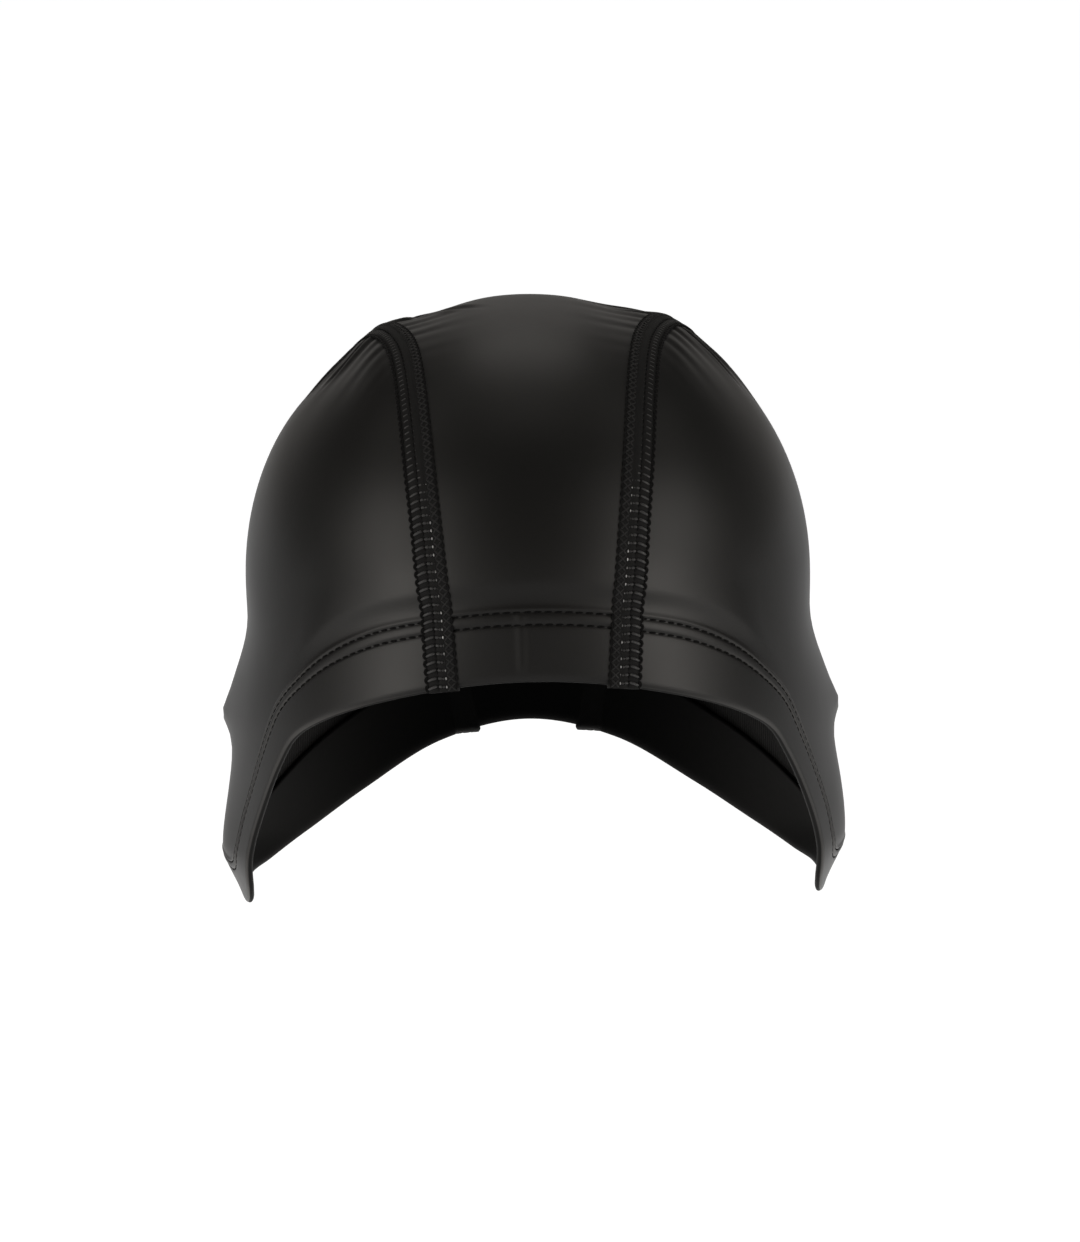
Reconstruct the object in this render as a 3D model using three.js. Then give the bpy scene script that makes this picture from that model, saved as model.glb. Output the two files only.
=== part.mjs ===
// A fabric swim cap in the shape it takes on a head. A centre panel lies between two side panels,
// two flatlock seams join them from the forehead over the crown to the nape, and a turned-up
// elastic hem runs round the forehead, the ears and the nape, one length for each panel end.
//
// Millimetres, +Z up, the face towards -Y, the wearer's left towards +X. The origin lies on the
// inside of the cloth at the crown, where the top of the head bears.
import * as THREE from 'three';

// Stretched form, measured to the outside of the cloth. The widest level is level 0.
const LEAN = THREE.MathUtils.degToRad(9);   // the forehead leans back by this much
const CROWN_HEIGHT = 76.4;
const HALF_BREADTH = 77.9;
const HALF_LENGTH = 97;
const CROWN_FULLNESS = 0.015;                // how far the shoulders of the crown swell
const PLAN_FULLNESS = 0.024;
const OCCIPUT_FULLNESS = 0.035;
const TEMPLE_TAPER = { share: 0.04, end: 50 };
const NAPE_TAPER = { share: 0.12, end: 46 };

// Ears under the cloth: how far they push it out, at what level, and how far along the head
const EAR_DEPTH = 15;
const EAR_SPREAD = { front: 45, back: 30 };
const EAR_LIFTS = [
  { from: 9, to: 41, out: 9.6 },
  { from: 52, to: 75, out: 2.6 },
  { from: 74, to: 92, out: -6.5 },
];
const EAR_BUMPS = [
  { level: -41, out: 1.5, tall: 5, long: 10 },
  { level: -51, out: -0.7, tall: 6, long: 12 },
];

// Cloth, hem and seams
const CLOTH = 1.0;
const GAP = 0.3;                            // between pieces that meet
const HEM_HEIGHT = 18.6;
const HEM_NARROWING = { share: 0.2, turn: 83, spread: 22 };   // stretched thin over the ears
const HEM_SECTION = [
  { up: HEM_HEIGHT, out: -0.1 },
  { up: HEM_HEIGHT - 0.9, out: 0.3 },
  { up: HEM_HEIGHT / 2, out: 0.3 },
  { up: 1.0, out: 0.3 },
  { up: 0.1, out: -0.3 },
  { up: 0.1, out: -1.3 },
  { up: 1.0, out: -1.9 },
  { up: HEM_HEIGHT / 2, out: -1.9 },
  { up: HEM_HEIGHT - 0.9, out: -1.9 },
  { up: HEM_HEIGHT, out: -1.5 },
];
const SEAM_HALF_WIDTH = 4.3;
const SEAM_SECTION = [
  { across: -1, out: 0.1 },
  { across: -0.8, out: 0.8 },
  { across: 0, out: 1.0 },
  { across: 0.8, out: 0.8 },
  { across: 1, out: 0.1 },
  { across: 1, out: -1.1 },
  { across: 0.8, out: -1.4 },
  { across: -0.8, out: -1.4 },
  { across: -1, out: -1.1 },
];
const SEAM_OVER_HEM = { out: 0.35, inside: 0.75 };
const SEAM_OVERHANG = 0.5;                  // the seam's ends hang this far past the rim

// The seams draw the cloth up in a ridge, and pucker it where they turn over the crown.
// Middle and reach are angles over the crown, in radians.
const RIDGE = { out: 1.1, spread: 9, middle: 0.05, reach: 0.7 };
const PUCKER = { out: 0.7, pitch: 10.4, fade: 8, middle: 0.02, reach: 0.4 };

// Rim: turn round the head from the face in degrees, and level
const RIM = [
  { turn: 0, level: -26.4 },
  { turn: 12, level: -27.2 },
  { turn: 24, level: -29.6 },
  { turn: 36, level: -33.3 },
  { turn: 46, level: -37.7 },
  { turn: 53, level: -42.3 },
  { turn: 58, level: -48.6 },
  { turn: 64, level: -58.0 },
  { turn: 70, level: -69.3 },
  { turn: 74, level: -78.8 },
  { turn: 78, level: -85.6 },
  { turn: 82, level: -88.9 },
  { turn: 87, level: -90.0 },
  { turn: 96, level: -87.6 },
  { turn: 106, level: -84.4 },
  { turn: 116, level: -81.2 },
  { turn: 127, level: -75.0 },
  { turn: 142, level: -64.0 },
  { turn: 160, level: -51.5 },
  { turn: 180, level: -46.0 },
];

// Seam centreline: angles over the crown in radians, back along the head and out to the side
const SEAM = [
  { back: -2.4, side: 0.71 },
  { back: -2.1, side: 0.645 },
  { back: -1.85, side: 0.587 },
  { back: -1.5, side: 0.508 },
  { back: -1.0, side: 0.448 },
  { back: -0.7, side: 0.431 },
  { back: -0.45, side: 0.443 },
  { back: -0.2, side: 0.498 },
  { back: 0, side: 0.565 },
  { back: 0.3, side: 0.64 },
  { back: 0.7, side: 0.68 },
  { back: 1.2, side: 0.65 },
  { back: 1.6, side: 0.6 },
  { back: 2.1, side: 0.54 },
  { back: 2.4, side: 0.51 },
];

// Facets
const STATIONS = { brow: 11, crown: 20, nape: 12 };   // along the seams, close over the crown
const CROWN_REACH = 0.38;
const SIDE_ROWS = 13;
const SIDE_ROW_GROWTH = 1.15;
const CENTRE_COLUMNS = 8;
const SHORT_HEM_STATIONS = 10;

const QUARTER = Math.PI / 2;
const TINY = 1e-4;

function ramp(from, to, at) {
  return THREE.MathUtils.smoothstep(at, from, to);
}

function bell(distance, spread) {
  return Math.exp(-0.5 * (distance / spread) ** 2);
}

// Smooth curve through the rows of a table, level at both ends, read at one value of its key
function read(table, key, column, at) {
  const last = table.length - 1;
  let i = 0;
  while (i < last - 1 && at > table[i + 1][key]) i += 1;
  const slope = (k) => {
    if (k === 0 || k === last) return 0;
    return (table[k + 1][column] - table[k - 1][column]) / (table[k + 1][key] - table[k - 1][key]);
  };
  const width = table[i + 1][key] - table[i][key];
  const rise = table[i + 1][column] - table[i][column];
  const t = (at - table[i][key]) / width;
  const [start, end] = [slope(i) * width, slope(i + 1) * width];
  return table[i][column] + t * (start + t * (3 * rise - 2 * start - end + t * (start + end - 2 * rise)));
}

// How far the ear under the cloth pushes it outwards
function earLift(y, level) {
  const behind = y - EAR_DEPTH;
  const along = bell(behind, behind < 0 ? EAR_SPREAD.front : EAR_SPREAD.back);
  const lift = EAR_LIFTS.reduce((sum, part) => sum + part.out * ramp(part.from, part.to, -level), 0);
  return EAR_BUMPS.reduce(
    (sum, bump) => sum + bump.out * bell(level - bump.level, bump.tall) * bell(behind, bump.long),
    lift * along,
  );
}

// The outside of the cloth at a spot: a spot is two angles over the crown, to the side and back
function form(spot) {
  const down = Math.hypot(spot.side, spot.back);
  const [sideways, forwards] = down > 0 ? [spot.side / down, -spot.back / down] : [0, 1];
  const crown = Math.min(down, QUARTER);
  const below = (down - crown) * CROWN_HEIGHT;
  const behind = Math.max(-forwards, 0);
  const swell = 1 + CROWN_FULLNESS * Math.sin(2 * crown) ** 2;
  const square = 1 + PLAN_FULLNESS * (2 * sideways * forwards * Math.sin(crown)) ** 2;
  const reach = Math.sin(crown) * swell * square;
  const breadth = HALF_BREADTH * (1 - TEMPLE_TAPER.share * ramp(0, TEMPLE_TAPER.end, below));
  const nape = 1 - NAPE_TAPER.share * (below / NAPE_TAPER.end) ** 2 * behind;
  const occiput = 1 + OCCIPUT_FULLNESS * (Math.sin(2 * crown) * behind) ** 2;
  const y = -HALF_LENGTH * forwards * reach * nape * occiput;
  const level = CROWN_HEIGHT * Math.cos(crown) * swell - below;
  const x = breadth * sideways * reach;
  return new THREE.Vector3(x + Math.sign(x) * earLift(y, level) * sideways ** 2, y, level);
}

function shift(spot, side, back) {
  return { side: spot.side + side, back: spot.back + back };
}

function mirror(spot) {
  return { side: -spot.side, back: spot.back };
}

function slopes(spot) {
  const slope = (side, back) => form(shift(spot, side, back))
    .sub(form(shift(spot, -side, -back)))
    .divideScalar(2 * TINY);
  return [slope(TINY, 0), slope(0, TINY)];
}

function outwards(spot) {
  const [bySide, byBack] = slopes(spot);
  return bySide.cross(byBack).normalize();
}

function lifted(spot, out) {
  return form(spot).addScaledVector(outwards(spot), out);
}

// The spot at a distance over the cloth from another one
function walk(spot, heading, distance) {
  const steps = Math.max(1, Math.ceil(Math.abs(distance) / 2));
  const way = heading.clone();
  let here = spot;
  for (let i = 0; i < steps; i += 1) {
    const [bySide, byBack] = slopes(here);
    way.projectOnPlane(bySide.clone().cross(byBack).normalize()).normalize();
    const [ss, sb, bb] = [bySide.dot(bySide), bySide.dot(byBack), byBack.dot(byBack)];
    const [ws, wb] = [way.dot(bySide), way.dot(byBack)];
    const step = distance / steps / (ss * bb - sb * sb);
    here = shift(here, (ws * bb - wb * sb) * step, (wb * ss - ws * sb) * step);
  }
  return here;
}

// Lines over the cloth are functions that give a spot for a mark

function lineLength(line, from, to, pieces = 16) {
  let sum = 0;
  let last = form(line(from));
  for (let i = 1; i <= pieces; i += 1) {
    const next = form(line(from + (to - from) * i / pieces));
    sum += next.distanceTo(last);
    last = next;
  }
  return sum;
}

// The mark at a length along a line, with the marks growing where the length is positive
function markAt(line, from, length) {
  let mark = from;
  for (let i = 0; i < 4; i += 1) {
    const rate = lineLength(line, mark, mark + TINY, 1) / TINY;
    const gone = from === mark ? 0 : lineLength(line, from, mark) * Math.sign(mark - from);
    mark += (length - gone) / rate;
  }
  return mark;
}

function direction(line, mark) {
  return form(line(mark + TINY)).sub(form(line(mark - TINY)));
}

// Rim, counted round the head from the face to the wearer's left
function degreesFromFace(turn) {
  return THREE.MathUtils.radToDeg(Math.abs(Math.atan2(Math.sin(turn), Math.cos(turn))));
}

function rimDown(turn) {
  return QUARTER - read(RIM, 'turn', 'level', degreesFromFace(turn)) / CROWN_HEIGHT;
}

function rim(turn) {
  const down = rimDown(turn);
  return { side: down * Math.sin(turn), back: -down * Math.cos(turn) };
}

function turnOf(spot) {
  return Math.atan2(spot.side, -spot.back);
}

function aboveRim(turn, height) {
  const { share, turn: middle, spread } = HEM_NARROWING;
  const narrowed = height * (1 - share * bell(degreesFromFace(turn) - middle, spread));
  return walk(rim(turn), outwards(rim(turn)).cross(direction(rim, turn)), narrowed);
}

// A line beside the left seam, at a distance from its middle, towards the ear where positive
function besideSeam(distance) {
  const middle = (back) => ({ side: read(SEAM, 'back', 'side', back), back });
  if (distance === 0) return middle;
  return (back) => walk(middle(back), direction(middle, back).cross(outwards(middle(back))), distance);
}

// The marks where a line beside the seam meets the rim
function rimMarks(line) {
  const inside = (mark) => {
    const spot = line(mark);
    return rimDown(turnOf(spot)) - Math.hypot(spot.side, spot.back);
  };
  return [-2.1, 2.2].map((far) => {
    let [near, beyond] = [Math.sign(far), far];
    for (let i = 0; i < 40; i += 1) {
      const middle = (near + beyond) / 2;
      if (inside(middle) > 0) near = middle;
      else beyond = middle;
    }
    return near;
  });
}

const HEM_TOP = HEM_HEIGHT + GAP;

// A line beside the seam with its marks from hem to hem, close together over the crown
function seamLine(distance) {
  const line = besideSeam(distance);
  const [front, back] = rimMarks(line);
  const spread = (from, to, count) => Array.from({ length: count }, (_, i) => from + (to - from) * i / count);
  const [start, end] = [markAt(line, front, HEM_TOP), markAt(line, back, -HEM_TOP)];
  const marks = [
    ...spread(start, -CROWN_REACH, STATIONS.brow),
    ...spread(-CROWN_REACH, CROWN_REACH, STATIONS.crown),
    ...spread(CROWN_REACH, end, STATIONS.nape),
    end,
  ];
  return { line, front, back, marks };
}

const seamMiddle = seamLine(0);
const seamInside = seamLine(-SEAM_HALF_WIDTH - GAP);
const seamOutside = seamLine(SEAM_HALF_WIDTH + GAP);

// How far the seam lifts the cloth beside it
const CROWN_RATE = lineLength(seamMiddle.line, -TINY, TINY, 1) / (2 * TINY);

function seamLift(mark, distance) {
  const window = (part) => Math.cos(QUARTER * Math.min(1, Math.abs(mark - part.middle) / part.reach)) ** 2;
  const ridge = RIDGE.out * window(RIDGE) * bell(distance, RIDGE.spread);
  const wave = Math.cos(2 * Math.PI * mark * CROWN_RATE / PUCKER.pitch);
  const fade = Math.exp(-Math.max(0, distance - SEAM_HALF_WIDTH) / PUCKER.fade);
  return ridge + PUCKER.out * window(PUCKER) * wave * fade;
}

// Leans the form back and sets the origin at the inside of the crown
const INSIDE_CROWN = form({ side: 0, back: 0 }).sub(new THREE.Vector3(0, 0, CLOTH));

function place(point) {
  return point.clone().sub(INSIDE_CROWN).applyAxisAngle(new THREE.Vector3(1, 0, 0), -LEAN);
}

// The cloth of a hem between two seam edges, at a share of its length and a height above the rim.
// Its ends follow the seams' edges, and elsewhere it stands square on the rim.
function hemCloth(startTurn, endTurn, startEdge, endEdge) {
  const pulls = new Map();
  const pullsAt = (height) => {
    if (!pulls.has(height)) {
      const pull = (turn, edge) => {
        const [wanted, plain] = [edge(height), aboveRim(turn, height)];
        return { side: wanted.side - plain.side, back: wanted.back - plain.back };
      };
      pulls.set(height, [pull(startTurn, startEdge), pull(endTurn, endEdge)]);
    }
    return pulls.get(height);
  };
  return (share, height) => {
    const spot = aboveRim(startTurn + (endTurn - startTurn) * share, height);
    const [start, end] = pullsAt(height);
    const [near, far] = [(1 - share) ** 6, share ** 6];
    return shift(spot, start.side * near + end.side * far, start.back * near + end.back * far);
  };
}

function upFront({ line, front }) {
  return (height) => line(markAt(line, front, height));
}

function upBack({ line, back }) {
  return (height) => line(markAt(line, back, -height));
}

function mirrored(edge) {
  return (height) => mirror(edge(height));
}

const sideTurns = [seamOutside.front, seamOutside.back].map((mark) => turnOf(seamOutside.line(mark)));
const [faceTurn, napeTurn] = [seamInside.front, seamInside.back].map((mark) => turnOf(seamInside.line(mark)));
const sideHem = hemCloth(...sideTurns, upFront(seamOutside), upBack(seamOutside));
const frontHem = hemCloth(-faceTurn, faceTurn, mirrored(upFront(seamInside)), upFront(seamInside));
const backHem = hemCloth(napeTurn, 2 * Math.PI - napeTurn, upBack(seamInside), mirrored(upBack(seamInside)));

// Lengths from the first mark to each of the others
function lengthsAlong(line, marks) {
  const lengths = [0];
  marks.slice(1).forEach((mark, i) => lengths.push(lengths[i] + lineLength(line, marks[i], mark, 2)));
  return lengths;
}

// Shares along the side hem that face the marks along the seam
function facingShares() {
  const alongSeam = lengthsAlong(seamOutside.line, seamOutside.marks);
  const hemMarks = Array.from({ length: 101 }, (_, i) => i / 100);
  const alongHem = lengthsAlong((share) => sideHem(share, HEM_TOP), hemMarks);
  const scale = alongHem[100] / alongSeam[alongSeam.length - 1];
  return alongSeam.map((length) => {
    const next = Math.max(1, alongHem.findIndex((reached) => reached >= length * scale - TINY));
    const part = (length * scale - alongHem[next - 1]) / (alongHem[next] - alongHem[next - 1]);
    return Math.min(1, hemMarks[next - 1] + part / 100);
  });
}

const sideShares = facingShares();

// Solids

function solid(triangles) {
  const index = [];
  const places = [];
  const numbers = new Map();
  const number = (point) => {
    const key = point.toArray().map((value) => value.toFixed(3)).join(' ');
    if (!numbers.has(key)) {
      numbers.set(key, numbers.size);
      places.push(...point.toArray());
    }
    return numbers.get(key);
  };
  let volume = 0;
  for (const [a, b, c] of triangles) {
    const corners = [a, b, c].map(number);
    if (new Set(corners).size === 3) {
      index.push(...corners);
      volume += a.dot(b.clone().cross(c));
    }
  }
  if (volume < 0) index.reverse();
  const geometry = new THREE.BufferGeometry();
  geometry.setAttribute('position', new THREE.Float32BufferAttribute(places, 3));
  geometry.setIndex(index);
  geometry.computeVertexNormals();
  return geometry;
}

function faces(rows, closed) {
  const made = [];
  for (let i = 0; i + 1 < rows.length; i += 1) {
    const width = rows[i].length;
    for (let j = 0; j < (closed ? width : width - 1); j += 1) {
      const next = (j + 1) % width;
      const [a, b, c, d] = [rows[i][j], rows[i][next], rows[i + 1][next], rows[i + 1][j]];
      made.push([a, b, c], [a, c, d]);
    }
  }
  return made;
}

// A wall of cloth between an outer and an inner grid of points
function wall(outer, inner) {
  const border = (grid) => {
    const [last, end] = [grid.length - 1, grid[0].length - 1];
    return [
      ...grid[0].slice(0, end),
      ...grid.slice(0, last).map((row) => row[end]),
      ...grid[last].slice(1).reverse(),
      ...grid.slice(1).reverse().map((row) => row[0]),
    ];
  };
  const inside = faces(inner, false).map(([a, b, c]) => [a, c, b]);
  return solid([...faces(outer, false), ...inside, ...faces([border(inner), border(outer)], true)]);
}

// A bar through rings of points, with a flat fan at each end
function bar(rings) {
  const fan = (ring) => {
    const middle = ring.reduce((sum, point) => sum.add(point), new THREE.Vector3()).divideScalar(ring.length);
    return ring.map((point, i) => [middle, ring[(i + 1) % ring.length], point]);
  };
  const end = fan(rings[rings.length - 1]).map(([a, b, c]) => [a, c, b]);
  return solid([...faces(rings, true), ...fan(rings[0]), ...end]);
}

// Pieces, all made for the wearer's left or the middle

function cloth(grid) {
  const layer = (depth) => grid.map((row) => row.map(({ spot, lift }) => place(lifted(spot, lift - depth))));
  return wall(layer(0), layer(CLOTH));
}

function sidePanel() {
  const { line, marks } = seamOutside;
  return cloth(marks.map((mark, k) => {
    const top = line(mark);
    const foot = k > 0 && k < marks.length - 1 ? sideHem(sideShares[k], HEM_TOP) : top;
    const height = form(top).distanceTo(form(foot));
    return Array.from({ length: SIDE_ROWS + 1 }, (_, j) => {
      const share = (j / SIDE_ROWS) ** SIDE_ROW_GROWTH;
      const spot = shift(top, (foot.side - top.side) * share, (foot.back - top.back) * share);
      return { spot, lift: seamLift(mark, SEAM_HALF_WIDTH + share * height) };
    });
  }));
}

function centrePanel() {
  const { line, marks } = seamInside;
  const edges = marks.map(line);
  const [first, last] = [edges[0], edges[edges.length - 1]];
  const columns = Array.from({ length: CENTRE_COLUMNS + 1 }, (_, j) => {
    const across = 2 * j / CENTRE_COLUMNS - 1;
    return {
      across,
      front: shift(frontHem((1 + across) / 2, HEM_TOP), -first.side * across, -first.back),
      back: shift(backHem((1 - across) / 2, HEM_TOP), -last.side * across, -last.back),
    };
  });
  return cloth(marks.map((mark, k) => {
    const share = (edges[k].back - first.back) / (last.back - first.back);
    const [near, far] = [(1 - share) ** 4, share ** 4];
    return columns.map(({ across, front, back }) => ({
      spot: shift(
        { side: edges[k].side * across, back: edges[k].back },
        front.side * near + back.side * far,
        front.back * near + back.back * far,
      ),
      lift: seamLift(mark, SEAM_HALF_WIDTH + (1 - Math.abs(across)) * form(edges[k]).x),
    }));
  }));
}

function hem(clothOf, shares) {
  return bar(shares.map((share) => HEM_SECTION.map(({ up, out }) => place(lifted(clothOf(share, up), out)))));
}

function seamStrip() {
  const { line, front, back, marks } = seamMiddle;
  const heights = [-SEAM_OVERHANG, 0.5, HEM_HEIGHT / 2, HEM_HEIGHT - 1];
  const rings = [
    ...heights.map((height) => ({ mark: markAt(line, front, height), onHem: 1 })),
    ...marks.map((mark) => ({ mark, onHem: 0 })),
    ...heights.reverse().map((height) => ({ mark: markAt(line, back, -height), onHem: 1 })),
  ];
  const beside = SEAM_SECTION.map(({ across }) => besideSeam(across * SEAM_HALF_WIDTH));
  return bar(rings.map(({ mark, onHem }) => SEAM_SECTION.map(({ out }, i) => {
    const proud = out > 0 ? SEAM_OVER_HEM.out * onHem : -SEAM_OVER_HEM.inside * onHem;
    return place(lifted(beside[i](mark), out + proud + seamLift(mark, SEAM_HALF_WIDTH)));
  })));
}

// The same piece on the other side of the head
function otherSide(geometry) {
  const copy = geometry.clone().scale(-1, 1, 1);
  copy.setIndex(Array.from(copy.getIndex().array).reverse());
  copy.computeVertexNormals();
  return copy;
}

const evenShares = Array.from({ length: SHORT_HEM_STATIONS + 1 }, (_, i) => i / SHORT_HEM_STATIONS);
const coated = new THREE.MeshStandardMaterial({ color: 0x1c1c1b, roughness: 0.42, metalness: 0 });
const thread = new THREE.MeshStandardMaterial({ color: 0x101010, roughness: 0.85, metalness: 0 });

const cap = new THREE.Group();
cap.name = 'swim_cap';

function add(name, geometry, material) {
  const mesh = new THREE.Mesh(geometry, material);
  mesh.name = name;
  cap.add(mesh);
}

function addPair(name, geometry, material) {
  add(`left_${name}`, geometry, material);
  add(`right_${name}`, otherSide(geometry), material);
}

add('centre_panel', centrePanel(), coated);
addPair('side_panel', sidePanel(), coated);
addPair('seam', seamStrip(), thread);
add('front_hem', hem(frontHem, evenShares), coated);
add('back_hem', hem(backHem, evenShares), coated);
addPair('side_hem', hem(sideHem, sideShares), coated);

export default cap;
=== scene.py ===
# %% [markdown]
# A fabric swim cap, dressed in Blender.
# The real cap is cut from stretch knit with a thin coat of polyurethane outside. Two side panels and
# a centre panel are joined by flatlock seams, and every edge is turned up inside over an elastic and
# held by two rows of stitches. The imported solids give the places. This script makes the cloth, the
# thread and the light that show what the cap is made of.

# %% Load the frame
import math
import bmesh
import bpy
import numpy as np
from mathutils import Matrix, Vector


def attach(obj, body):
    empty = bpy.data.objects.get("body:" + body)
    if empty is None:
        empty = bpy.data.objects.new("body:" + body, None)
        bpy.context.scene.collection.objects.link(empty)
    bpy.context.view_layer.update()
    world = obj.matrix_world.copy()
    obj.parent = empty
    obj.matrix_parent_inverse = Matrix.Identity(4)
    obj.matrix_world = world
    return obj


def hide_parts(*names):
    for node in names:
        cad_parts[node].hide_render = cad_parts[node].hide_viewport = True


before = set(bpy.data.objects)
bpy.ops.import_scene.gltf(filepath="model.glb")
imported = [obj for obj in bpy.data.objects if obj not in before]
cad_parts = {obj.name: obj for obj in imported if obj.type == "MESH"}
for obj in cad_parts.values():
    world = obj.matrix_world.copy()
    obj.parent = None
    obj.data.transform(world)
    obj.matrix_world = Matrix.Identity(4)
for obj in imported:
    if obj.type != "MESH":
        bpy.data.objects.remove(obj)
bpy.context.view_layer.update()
print("nodes:", sorted(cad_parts))

# %% [markdown]
# The camera comes first, because every choice after it is judged through it. The photo is a long
# lens picture taken from a little above, so the lens is long and the camera looks down a little. It
# could be aimed with a Track To constraint, but a matrix built from three directions also holds the
# small roll of the cap in the picture.

# %% Camera
PICTURE_HEIGHT = 1242                  # pixels
FOCAL = 5034                           # pixels
CAMERA_DISTANCE = 1.4
CAMERA_TARGET = Vector((0.0032, -0.008, -0.0895))
CAMERA_TURN = math.radians(0.7)
CAMERA_DOWN = math.radians(11)
CAMERA_ROLL = math.radians(1)
SENSOR = 36

ahead = Vector((
    math.sin(CAMERA_TURN) * math.cos(CAMERA_DOWN),
    math.cos(CAMERA_TURN) * math.cos(CAMERA_DOWN),
    -math.sin(CAMERA_DOWN),
))
level_right = ahead.cross(Vector((0, 0, 1))).normalized()
level_up = level_right.cross(ahead)
right = level_right * math.cos(CAMERA_ROLL) - level_up * math.sin(CAMERA_ROLL)
up = level_up * math.cos(CAMERA_ROLL) + level_right * math.sin(CAMERA_ROLL)

camera = bpy.data.objects.new("camera", bpy.data.cameras.new("camera"))
bpy.context.scene.collection.objects.link(camera)
camera.data.sensor_width = SENSOR
camera.data.lens = FOCAL * SENSOR / PICTURE_HEIGHT
camera.matrix_world = Matrix.Translation(CAMERA_TARGET - ahead * CAMERA_DISTANCE) @ Matrix(
    (right, up, -ahead)).transposed().to_4x4()
bpy.context.scene.camera = camera
print(f"camera: {camera.data.lens:.1f} mm lens at {CAMERA_DISTANCE} m")

# %% [markdown]
# The cap is shown as it is worn, stretched tight, so its cloth is one smooth form. One function, form,
# says where the outside of the cloth is for two angles over the crown, to the side and back. It is a
# domed half above the widest level and straight walls below it, with a low bulge on each side.
# Sculpting could give the same dome, but from a function every seam, hem and stitch can be laid on it
# exactly.

# %% Sizes of the stretched form, in millimetres
MM = 0.001
LEAN = math.radians(9)                 # the front leans back by this much
CROWN_HEIGHT = 76.4
HALF_BREADTH = 77.9
HALF_LENGTH = 97
CROWN_FULLNESS = 0.015
PLAN_FULLNESS = 0.024
BACK_FULLNESS = 0.035
TEMPLE_TAPER = {"share": 0.04, "end": 50}
TEMPLE_FULLNESS = {"share": 0.035, "end": 40}   # the temples are squarer than the front
NAPE_TAPER = {"share": 0.12, "end": 46}
BULGE_MIDDLE = 15                      # the low bulge on each side is this far behind the middle
BULGE_SPREAD = {"front": 41, "back": 30}
BULGE_RIDGE = {"share": 0.2, "spread": 17}      # a narrower share makes its front half sharper
BULGE_LIFTS = [                        # what it adds between two depths below the widest level
    {"from": 9, "to": 39.5, "out": 9.6},
    {"from": 52, "to": 75, "out": 2.6},
    {"from": 74, "to": 92, "out": -6.5},
]
BULGE_BUMPS = [
    {"level": -38.5, "out": 2.0, "tall": 3.6, "long": 9},
    {"level": -47, "out": -1.2, "tall": 4.5, "long": 11},
]
UNEVEN = [                             # the worn cloth isn't pulled quite evenly
    {"x": -26, "level": 70, "wide": 8, "tall": 40, "up": -1.5, "out": 0},
    {"x": -49, "level": 55, "wide": 10, "tall": 22, "up": -2.2, "out": 0},
    {"x": -40, "level": 58, "wide": 4.5, "tall": 14, "up": 1.9, "out": 0},
    {"x": 24, "level": 72, "wide": 6, "tall": 40, "up": -0.9, "out": 0},
    {"x": 44, "level": 60, "wide": 10, "tall": 30, "up": 0.8, "out": 0},
    {"x": 41, "level": 62, "wide": 4, "tall": 14, "up": 0.9, "out": 0},
    {"x": 86, "level": -58, "wide": 20, "tall": 13, "up": 0, "out": 1.8},
]
UNEVEN_REACH = {"middle": 8, "long": 48}
QUARTER = math.pi / 2
TINY = 1e-4                            # radians, the step in which slopes are measured
SPECK = 1e-9                           # radians, stands for none where it is divided by


def ramp(start, end, at):
    share = np.clip((at - start) / (end - start), 0, 1)
    return share * share * (3 - 2 * share)


def bell(distance, spread):
    return np.exp(-0.5 * (distance / spread) ** 2)


def dot(a, b):
    return np.sum(a * b, axis=-1)


def unit(v):
    return v / np.linalg.norm(v, axis=-1, keepdims=True)


def bulge(y, level):
    """How far the low bulge pushes the cloth of a side out."""
    behind = y - BULGE_MIDDLE
    along = bell(behind, np.where(behind < 0, BULGE_SPREAD["front"], BULGE_SPREAD["back"]))
    sharper = BULGE_RIDGE["share"] * (behind < 0)
    along = along * (1 - sharper) + bell(behind, BULGE_RIDGE["spread"]) * sharper
    lift = sum(part["out"] * ramp(part["from"], part["to"], -level) for part in BULGE_LIFTS) * along
    for part in BULGE_BUMPS:
        lift = lift + part["out"] * bell(level - part["level"], part["tall"]) * bell(behind, part["long"])
    return lift


def form(spot):
    """The outside of the cloth at spots: pairs of angles over the crown, to the side and back."""
    side, back = spot[..., 0], spot[..., 1]
    down = np.maximum(np.hypot(side, back), SPECK)
    sideways, forwards = side / down, -back / down
    crown = np.minimum(down, QUARTER)
    below = (down - crown) * CROWN_HEIGHT
    behind = np.maximum(-forwards, 0)
    fuller = 1 + CROWN_FULLNESS * np.sin(2 * crown) ** 2
    temples = TEMPLE_FULLNESS["share"] * ramp(0, TEMPLE_FULLNESS["end"], below) * (forwards > 0)
    square = 1 + (PLAN_FULLNESS + temples) * (2 * sideways * forwards * np.sin(crown)) ** 2
    reach = np.sin(crown) * fuller * square
    breadth = HALF_BREADTH * (1 - TEMPLE_TAPER["share"] * ramp(0, TEMPLE_TAPER["end"], below))
    nape = 1 - NAPE_TAPER["share"] * (below / NAPE_TAPER["end"]) ** 2 * behind
    fuller_back = 1 + BACK_FULLNESS * (np.sin(2 * crown) * behind) ** 2
    x = breadth * sideways * reach
    y = -HALF_LENGTH * forwards * reach * nape * fuller_back
    level = CROWN_HEIGHT * np.cos(crown) * fuller - below
    x = x + np.sign(x) * bulge(y, level) * sideways ** 2
    return np.stack([x, y, level], axis=-1)


def slopes(spot):
    """How the form's points move with the angle to the side and with the angle back."""
    return [(form(spot + step) - form(spot - step)) / (2 * TINY) for step in ([TINY, 0.0], [0.0, TINY])]


def outwards(spot):
    by_side, by_back = slopes(spot)
    return unit(np.cross(by_side, by_back))


CLOTH_SOLID = 1.0                      # the solids' cloth, whose inside at the crown is the origin


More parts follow.
